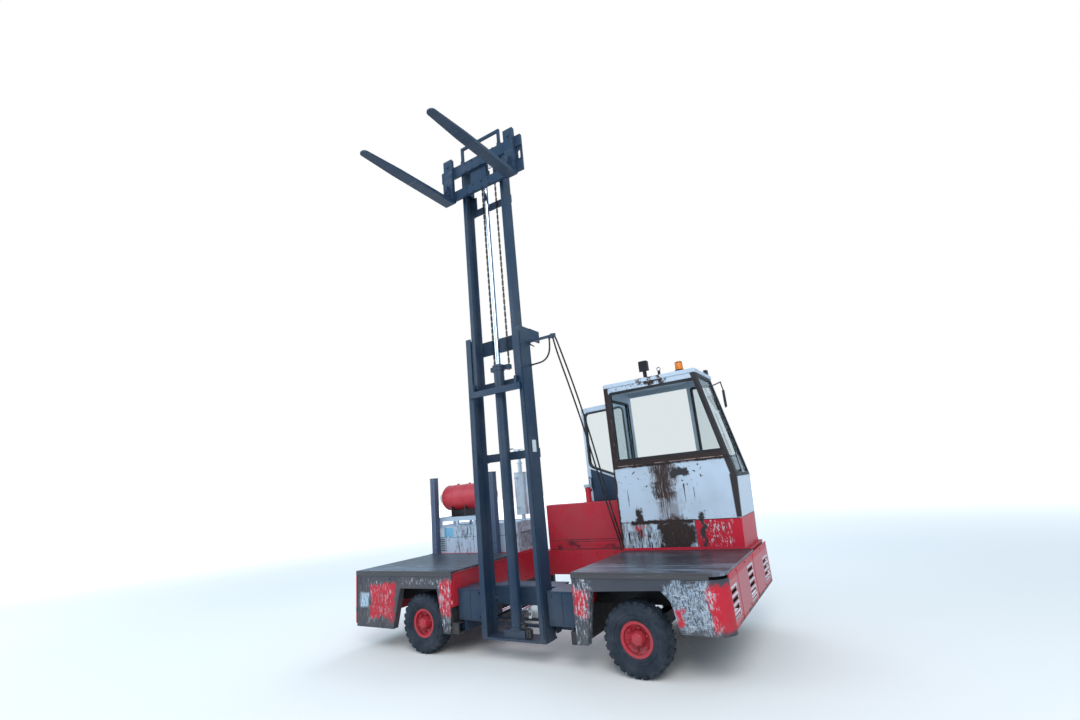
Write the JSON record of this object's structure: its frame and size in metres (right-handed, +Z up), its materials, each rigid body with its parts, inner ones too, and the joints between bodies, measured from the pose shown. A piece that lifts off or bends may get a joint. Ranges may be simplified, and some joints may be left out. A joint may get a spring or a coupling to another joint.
{
  "type": "side loader forklift",
  "caption": "Side loader forklift with a mast on a sideways reach carriage between two load decks, end cab, gas engine hood, raised forks and steered wheels.",
  "frame": {"origin": "on the ground under the middle of the machine's bounding box at rest", "axes": "+X towards the cab end, +Y from the load side to the far side, +Z up"},
  "size_m": [4.256, 3.4624, 5.7399],
  "materials": {
    "frame_paint": "worn satin",
    "fender_paint": "worn, dusty",
    "deck_steel": "scraped",
    "red_paint": "faded gloss",
    "white_paint": "weathered gloss",
    "mast_paint": "worn satin",
    "rim_paint": "dusty satin",
    "axle_iron": "dirty",
    "fork_steel": "scraped",
    "chain_steel": "oily",
    "rod_chrome": "polished",
    "silencer_metal": "dull silver",
    "bottle_paint": "scuffed gloss",
    "hose_rubber": "dusty matt",
    "black_trim": "matt",
    "window_glass": "dusty clear",
    "seat_cover": "matt",
    "tyre_rubber": "dusty matt"
  },
  "bodies": {
    "chassis": {"chassis_frame": "frame_paint", "rear_deck": "deck_steel", "front_deck": "deck_steel", "load_side_fenders": "fender_paint", "far_side_fenders": "fender_paint", "front_end_panel": "fender_paint", "rear_end_panel": "fender_paint", "engine_block": "axle_iron", "engine_hood": "white_paint", "gas_bottle_tray": "black_trim", "gas_bottle": "bottle_paint", "silencer": "silencer_metal", "stakes": "mast_paint", "side_tank": "red_paint", "cab_tub": "red_paint", "cab_side_panel": "white_paint", "cab_far_panel": "white_paint", "cab_rear_panel": "white_paint", "cab_roof": "white_paint", "cab_glass": "window_glass", "seat": "seat_cover", "dashboard": "black_trim", "roof_fittings": "black_trim", "rear_axle": "axle_iron", "front_axle": "axle_iron", "reach_cylinder": "frame_paint", "hose_far": "hose_rubber", "hose_near": "hose_rubber"},
    "door": {"cab_door": "white_paint", "door_glass": "window_glass"},
    "near_knuckle": {"knuckle_near": "axle_iron"},
    "far_knuckle": {"knuckle_far": "axle_iron"},
    "track_rod": {"tie_rod": "axle_iron"},
    "reach": {"reach_carriage": "frame_paint", "tilt_cylinders": "frame_paint"},
    "ram": {"reach_rod": "rod_chrome"},
    "tilt_rams": {"tilt_rods": "rod_chrome"},
    "mast": {"outer_mast": "mast_paint", "mast_cross_plates": "mast_paint", "lift_cylinder": "mast_paint", "hose_loop": "hose_rubber"},
    "inner": {"inner_mast": "mast_paint", "lift_rod": "rod_chrome", "lift_chains": "chain_steel"},
    "forks": {"fork_carriage": "mast_paint", "carriage_chains": "chain_steel", "fork_rear": "fork_steel", "fork_front": "fork_steel"},
    "rear_near_wheel": {"wheel_rear_near": "rim_paint", "tyre_rear_near": "tyre_rubber"},
    "rear_far_wheel": {"wheel_rear_far": "rim_paint", "tyre_rear_far": "tyre_rubber"},
    "front_near_wheel": {"wheel_front_near": "rim_paint", "tyre_front_near": "tyre_rubber"},
    "front_far_wheel": {"wheel_front_far": "rim_paint", "tyre_front_far": "tyre_rubber"}
  },
  "joints": [
    {"name": "rear_near_spin", "type": "hinge", "parent": "chassis", "child": "rear_near_wheel", "pos_m": [-1.098, -0.26617, 0.295], "axis": [0, 1, 0], "continuous": true},
    {"name": "rear_far_spin", "type": "hinge", "parent": "chassis", "child": "rear_far_wheel", "pos_m": [-1.098, 1.44382, 0.295], "axis": [0, 1, 0], "continuous": true},
    {"name": "front_near_spin", "type": "hinge", "parent": "near_knuckle", "child": "front_near_wheel", "pos_m": [1.322, -0.26617, 0.295], "axis": [0, 1, 0], "continuous": true},
    {"name": "front_far_spin", "type": "hinge", "parent": "far_knuckle", "child": "front_far_wheel", "pos_m": [1.322, 1.44382, 0.295], "axis": [0, 1, 0], "continuous": true},
    {"name": "steer_near", "type": "hinge", "parent": "chassis", "child": "near_knuckle", "pos_m": [1.322, -0.09617, 0.295], "axis": [0, 0, 1], "range_deg": [-38, 38]},
    {"name": "steer_far", "type": "hinge", "parent": "chassis", "child": "far_knuckle", "pos_m": [1.322, 1.27382, 0.295], "axis": [0, 0, 1], "range_deg": [-38, 38]},
    {"name": "track_rod_slide", "type": "slide", "parent": "chassis", "child": "track_rod", "axis": [0, 1, 0], "range_m": [-0.1, 0.1]},
    {"name": "reach_slide", "type": "slide", "parent": "chassis", "child": "reach", "axis": [0, 1, 0], "range_m": [0, 1.195]},
    {"name": "ram_slide", "type": "slide", "parent": "chassis", "child": "ram", "axis": [0, 1, 0], "range_m": [0, 0.598]},
    {"name": "mast_tilt", "type": "hinge", "parent": "reach", "child": "mast", "pos_m": [0.072, -0.13118, 0.3], "axis": [1, 0, 0], "range_deg": [-5, 3]},
    {"name": "tilt_rams_slide", "type": "slide", "parent": "reach", "child": "tilt_rams", "axis": [0, 1, 0], "range_m": [-0.0125, 0.0205]},
    {"name": "inner_lift", "type": "slide", "parent": "mast", "child": "inner", "axis": [0, 0, 1], "range_m": [-2.4, 0]},
    {"name": "carriage_lift", "type": "slide", "parent": "inner", "child": "forks", "axis": [0, 0, 1], "range_m": [-2.4, 0]},
    {"name": "door_hinge", "type": "hinge", "parent": "chassis", "child": "door", "pos_m": [0.777, 1.58183, 1.7], "axis": [0, 0, 1], "range_deg": [-170, 0]}
  ],
  "couplings": [
    {"joint": "steer_far", "follows": "steer_near", "ratio": 1},
    {"joint": "track_rod_slide", "follows": "steer_near", "m_per_rad": -0.15},
    {"joint": "ram_slide", "follows": "reach_slide", "ratio": 0.5},
    {"joint": "tilt_rams_slide", "follows": "mast_tilt", "m_per_rad": -0.23},
    {"joint": "carriage_lift", "follows": "inner_lift", "ratio": 1}
  ]
}
